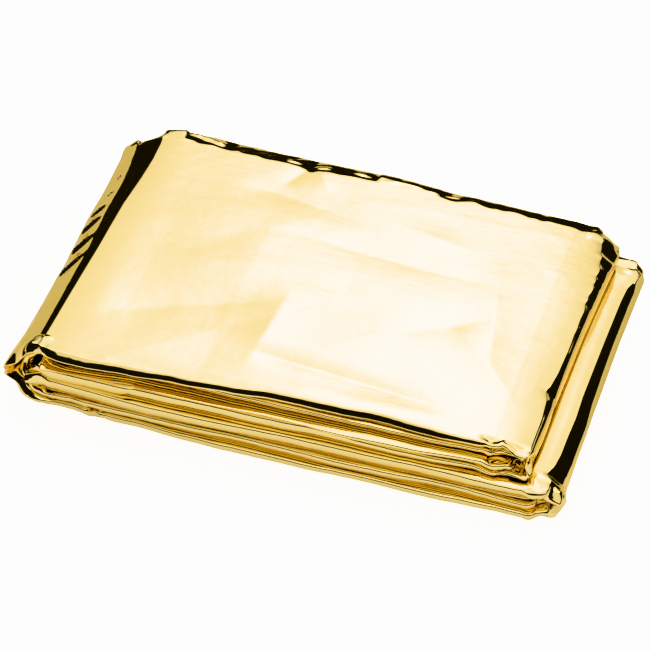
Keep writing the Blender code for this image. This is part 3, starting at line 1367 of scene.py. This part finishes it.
@dataclass(frozen=True)
class Softbox:
    """A large soft light, as a bright window in the surroundings.

    Attributes:
        elevation: its middle's height, in degrees; 90 is overhead and more is on the camera's side.
        half_width, half_height: its half sizes, as tangents.
        soft: width of its soft border, as a tangent.
        levels: brightness up its height, as pairs of a height tangent and a level.
        glow: its brightest spot: place across, place up, width, height and level.
        sides: how it dims to both sides: where that begins, where it ends, and the share left there.
    """

    elevation: float = 55.0
    half_width: float = 0.95
    half_height: float = 0.62
    soft: float = 0.03
    levels: tuple[tuple[float, float], ...] = ((-0.62, 1.1), (-0.25, 2.6), (0.0, 5.5), (0.6, 13.0))
    glow: tuple[float, float, float, float, float] = (0.066, -0.17, 0.046, 0.075, 42.0)
    sides: tuple[float, float, float] = (0.06, 0.40, 0.45)

    def brightness(self, kit: NodeKit, way: Socket, turn: float) -> Socket:
        """Brightness of this light in every direction.

        Args:
            kit: node helper.
            way: direction looked in.
            turn: the camera's turn, in radians.

        Returns:
            The brightness, as a socket.
        """
        rise = math.radians(self.elevation)
        ahead = Vector((-math.sin(turn), math.cos(turn), 0.0))
        middle = ahead * math.cos(rise) + Vector((0.0, 0.0, math.sin(rise)))
        side = Vector((math.cos(turn), math.sin(turn), 0.0))
        depth = kit.math("MAXIMUM", kit.dot(way, middle), 0.001)
        across = kit.math("DIVIDE", kit.dot(way, side), depth)
        over = kit.math("DIVIDE", kit.dot(way, side.cross(middle)), depth)
        light = self.levels[0][1]
        for (start, low), (end, high) in zip(self.levels, self.levels[1:]):
            light = kit.math("ADD", light, kit.ramp(over, (start, end), (0.0, high - low)))
        start, end, left = self.sides
        dim = kit.ramp(kit.math("ABSOLUTE", across), (start, end), (1.0, left))
        light = kit.math("MULTIPLY", light, dim)
        x, y, wide, tall, level = self.glow
        off_x = kit.math("DIVIDE", kit.math("SUBTRACT", across, x), wide)
        off_y = kit.math("DIVIDE", kit.math("SUBTRACT", over, y), tall)
        off = kit.math("ADD", kit.math("MULTIPLY", off_x, off_x), kit.math("MULTIPLY", off_y, off_y))
        spot = kit.math("EXPONENT", kit.math("MULTIPLY", off, -0.5))
        light = kit.math("MULTIPLY_ADD", spot, level, light)
        for value, half in ((across, self.half_width), (over, self.half_height)):
            border = half - self.soft, half + self.soft
            edge = kit.ramp(kit.math("ABSOLUTE", value), border, (1.0, 0.0), "SMOOTHSTEP")
            light = kit.math("MULTIPLY", light, edge)
        return light


@dataclass
class Studio:
    """Pale floor, dark surroundings with soft lights, and the camera.

    Attributes:
        turn, rise: the camera's turn about the vertical and its height angle, in degrees.
        distance: from the aim to the camera, in metres.
        lens, sensor: focal length and sensor width, in millimetres.
        aim: point that the camera looks at, in millimetres from the packet's zero.
        dark, softboxes: brightness of the dark surroundings, and the bright windows in them.
        floor_half, floor_roughness: half the floor's side in metres, and its roughness.
        floor_shade, floor_painted_shade_in_film: its grey as it is seen, and a far darker grey, painted
            shade, where the film mirrors it.
        floor_lift: the light that it adds where the camera sees it.
        floor_painted_glow: painted light, a glow that it adds away from the camera and that the film
            mirrors, brighter towards the front: two places from front to back, and the level at each.
        fill, fill_angle, fill_rise: strength of the fill light, its width in degrees, and its slope.
    """

    turn: float = 17.5
    rise: float = 42.5
    distance: float = 0.734
    lens: float = 167.4
    sensor: float = 36.0
    aim: tuple[float, float, float] = (67.1, 40.5, 8.0)
    dark: float = 0.012
    softboxes: tuple[Softbox, ...] = (
        Softbox(),
        Softbox(108.0, 0.8, 0.36, 0.05, ((-0.36, 3.0), (0.36, 3.0)), (0.0, 0.0, 1.0, 1.0, 0.0)),
    )
    floor_half: float = 3.0
    floor_shade: float = 0.86
    # painted shade: the floor takes a far darker grey where the film mirrors it
    floor_painted_shade_in_film: float = 0.22
    floor_roughness: float = 0.9
    floor_lift: float = 2.6
    # painted light: the floor glows away from the camera, brighter towards the front, and the film mirrors
    # that glow
    floor_painted_glow: tuple[float, float, float, float] = (-0.06, 0.0, 0.75, 0.30)
    fill: float = 1.2
    fill_angle: float = 60.0
    fill_rise: float = 1.1

    def camera(self, zero: Vector) -> None:
        """Place the camera.

        Args:
            zero: the packet's zero point, in metres.
        """
        turn, rise = math.radians(self.turn), math.radians(self.rise)
        back = Vector((math.sin(turn) * math.cos(rise), -math.cos(turn) * math.cos(rise), math.sin(rise)))
        right = Vector((math.cos(turn), math.sin(turn), 0.0))
        axes = Matrix((right, back.cross(right), back))
        data = bpy.data.cameras.new("camera")
        data.lens = self.lens
        data.sensor_width = self.sensor
        data.clip_start = 0.01
        camera = placed("camera", data)
        place = zero + Vector(self.aim) * MM + back * self.distance
        camera.matrix_world = Matrix.Translation(place) @ axes.transposed().to_4x4()
        bpy.context.scene.camera = camera

    def floor_material(self) -> bpy.types.Material:
        """Build the floor's material: pale to the camera, with painted shade where the film mirrors it and
        a painted glow away from the camera.

        Returns:
            The material.
        """
        material = bpy.data.materials.new("pale_floor")
        material.use_nodes = True
        kit = NodeKit(material.node_tree)
        path = kit.add("ShaderNodeLightPath").outputs
        # painted shade: glossy rays from the film see the floor in a far darker grey than the camera does
        grey = {"A": (self.floor_shade,) * 3 + (1.0,), "B": (self.floor_painted_shade_in_film,) * 3 + (1.0,)}
        shade = kit.add("ShaderNodeMix", {"Factor": path["Is Glossy Ray"], **grey}, data_type="RGBA")
        place = kit.add("ShaderNodeTexCoord").outputs["Object"]
        y = kit.add("ShaderNodeSeparateXYZ", {0: place}).outputs["Y"]
        # painted light: away from the camera the floor glows, more at the front than further back
        glow = kit.ramp(y, self.floor_painted_glow[:2], self.floor_painted_glow[2:])
        surface = {
            "Base Color": shade.outputs["Result"],
            "Roughness": self.floor_roughness,
            "Emission Color": WHITE,
            "Emission Strength": kit.ramp(path["Is Camera Ray"], (0.0, 1.0), (glow, self.floor_lift)),
        }
        kit.fill(material.node_tree.nodes["Principled BSDF"], surface)
        return material

    def floor(self) -> None:
        """Lay the pale floor."""
        mesh = bpy.data.meshes.new("floor")
        half = self.floor_half
        corners = [(-half, -half, 0.0), (half, -half, 0.0), (half, half, 0.0), (-half, half, 0.0)]
        mesh.from_pydata(corners, [], [(0, 1, 2, 3)])
        mesh.materials.append(self.floor_material())
        placed("floor", mesh)

    def surroundings(self) -> None:
        """Dress the world: dark, with bright windows."""
        world = bpy.data.worlds.new("studio")
        bpy.context.scene.world = world
        world.use_nodes = True
        world.node_tree.nodes.clear()
        kit = NodeKit(world.node_tree)
        way = kit.add("ShaderNodeTexCoord").outputs["Generated"]
        light = self.dark
        for box in self.softboxes:
            light = kit.math("ADD", light, box.brightness(kit, way, math.radians(self.turn)))
        background = kit.add("ShaderNodeBackground", {"Strength": light})
        kit.add("ShaderNodeOutputWorld", {0: background.outputs[0]})

    def fill_light(self) -> None:
        """Hang a broad weak light on the camera's side that lifts the floor's shadows."""
        data = bpy.data.lights.new("fill", "SUN")
        data.energy = self.fill
        data.angle = math.radians(self.fill_angle)
        light = placed("fill", data)
        turn = math.radians(self.turn)
        way = Vector((math.sin(turn), -math.cos(turn), self.fill_rise))
        light.rotation_euler = way.to_track_quat("Z", "Y").to_euler()
        light.visible_glossy = False

    def build(self, zero: Vector) -> None:
        """Build the floor, the surroundings, the fill light and the camera.

        Args:
            zero: the packet's zero point, in metres.
        """
        self.floor()
        self.surroundings()
        self.fill_light()
        self.camera(zero)
        bpy.context.scene.view_settings.view_transform = "Khronos PBR Neutral"
        log.info("studio: floor, softboxes, fill and camera")


FAR_SLOPE = FarSlope(
    (
        (11, 90), (15.6, 89), (16.2, 83.6), (20, 82.6), (27, 82.7), (34, 82.4), (41, 82.2), (47.5, 81.9),
        (50.2, 80.2), (52, 81.6), (56, 82), (64, 82.1), (67.2, 81.9), (67.8, 84.1), (77, 83.7),
        (82.5, 83), (84.4, 81.1), (88, 81), (93, 82.2), (97, 81.4), (104, 81.6), (110, 80.9), (115, 81.2),
        (120, 80.5), (126, 80.7),
    )
)

# Slanting wrinkles down the wrap's upper face, from the far end to the near one.
WRAP_CREASES = (
    Crease(1.2, 67.6, 4.6, 70.6, 2.2, 0.26, Edge.STEP, 0.3),
    Crease(1, 60.6, 5.2, 63.4, 2.6, 0.34, Edge.STEP, 0.25),
    Crease(-1.6, 52.4, 5.9, 57.5, 4.4, 0.56, Edge.STEP, 0.38),
    Crease(-2.6, 46.2, 6.2, 52.6, 4.9, 0.62, Edge.STEP, 0.38),
    Crease(-3.2, 37.8, 6.9, 44.8, 5, 0.66, Edge.STEP, 0.38),
    Crease(-3.4, 28, 7.2, 37.6, 4.6, 0.58, Edge.STEP, 0.38),
    Crease(-3.2, 25, 6.4, 30.4, 4, 0.2, Edge.STEP, 0.3),
    Crease(-3.6, 17.8, 6.6, 23.4, 3.6, 0.16, Edge.STEP, 0.3),
    Crease(-4, 9, 6.6, 16, 3.4, 0.12, Edge.STEP, 0.3),
)

TOP_CREASES = (
    # rims that roll over towards the long creases
    Crease(9.6, -9, 9.6, 99, 11, -0.4, Edge.ROLL, 0.01),
    Crease(129.6, 99, 129.6, -9, 11, -0.34, Edge.ROLL, 0.01),
    Crease(129.6, 99, 129.6, -9, 30, -0.5, Edge.ROLL, 0.01),
    # the step rises towards the stack on it, and the stack's foot with it
    Crease(-162.4, 99, -162.4, 2, 3, 0.26, ends=0.06),
    Crease(139, 2, 139, 99, 5, -0.35, Edge.ROLL, 0.06),
    Crease(-157.8, 99, -157.8, 2, 3.6, -0.26, Edge.ROLL, 0.06),
    # the pinch in the far edge and the soft folds that run from it
    Crease(51, 84.5, 45, 72, 6, -0.16),
    Crease(51.5, 84, 58, 74, 5, 0.12),
    Crease(13, 88.6, 28, 84.4, 1.5, 0.4, Edge.ROUND, 0.2),
    # slivers along the far slope that lie flatter than it does
    Crease(50, 82.6, 55.8, 84.4, 3.4, 0.3, Edge.STEP),
    Crease(42, 84, 48.5, 83.6, 2.6, 0.2, Edge.STEP),
    Crease(59, 84.6, 68, 83.8, 2.8, 0.22, Edge.STEP),
    Crease(84, 82.6, 90.5, 83.8, 2.6, 0.2, Edge.STEP),
    # long soft folds across the far half
    Crease(33, 72.5, 76, 65, 14, -0.3),
    Crease(48, 57, 112, 53, 13, -0.26),
    Crease(74, 68, 100, 64, 7, 0.14, ends=0.45),
    Crease(104, 66, 113, 20, 14, 0.26),
    # the darker tongue and the soft folds around it in the near half
    Crease(16, 15.5, 64, 35, 13, -0.24),
    Crease(22, 39, 66, 46, 9, 0.1),
    Crease(60.5, 42, 57, 4, 14, 0.3),
    Crease(60, 40.5, 76, 36, 5, 0.1),
    Crease(84, 28, 110, 43, 13, -0.24),
    Crease(98, 41, 123, 14, 11, 0.22),
    # a shallow valley and a ridge along the front edge
    Crease(46, 15, 114, 9, 6, -0.24, ends=0.35),
    Crease(26, 3, 122, 5.4, 5, 0.14, Edge.ROUND, 0.25),
)

SWELLS = (
    # the film's broad and middling unevenness all over
    SheetNoise(34.0, 27.0, 0.16, 5),
    SheetNoise(24.0, 19.0, 0.16, 15, Grain.FACETED),
    SheetNoise(9.0, 7.0, 0.025, 6, Grain.FACETED),
    FAR_SLOPE,
    # small wrinkles along the far edge, along the front edge and at the near right corner
    Patch(SheetNoise(2.6, 1.4, 0.085, 7, Grain.FACETED), 12.0, 128.0, 83.5, 90.0, 1.5),
    Patch(SheetNoise(3.7, 2.9, 0.06, 8, Grain.FACETED), 12.0, 60.0, -3.0, 0.5, 1.5),
    Patch(SheetNoise(2.7, 2.1, 0.20, 9, Grain.FACETED), 114.0, 131.0, -2.0, 2.0, 2.4),
)

CRUMPLES = (
    # a nick in the front edge; the near corners at the wrap and the two turns; the same at the far side
    Crumple(21.9, -1.2, 1.6, 2.8, 2.6, 2.6, 1.5, 0.55, 33),
    Crumple(3.6, -0.3, 9, 8.5, 5, 14, 3.3, 1, 52),
    Crumple(124, 0, 15.6, 9, 4.5, 5.6, 3, 0.95, 63),
    Crumple(134, -0.8, 4.4, 7, 4.8, 6.4, 3.2, 1, 71),
    Crumple(5, 86, 17, 7, 4, 8, 2.4, 0.4, 81),
    Crumple(128, 83, 16, 6, 5, 8, 2.3, 0.35, 91),
    Crumple(136, 84, 7, 4, 5, 6, 2.2, 0.35, 95),
)


def main() -> None:
    """Build the blanket and the studio around it."""
    logging.basicConfig(level=logging.INFO, format="%(name)s: %(message)s")
    blanket = FoilBlanket((*SWELLS, *WRAP_CREASES, *TOP_CREASES), CRUMPLES)
    blanket.build(FoilFinish())
    corner = Vector(CAD_BOX[0])
    Studio().build(corner + Vector((blanket.zero_x, blanket.zero_y, 0.0)) * MM)


if __name__ == "__main__":
    main()
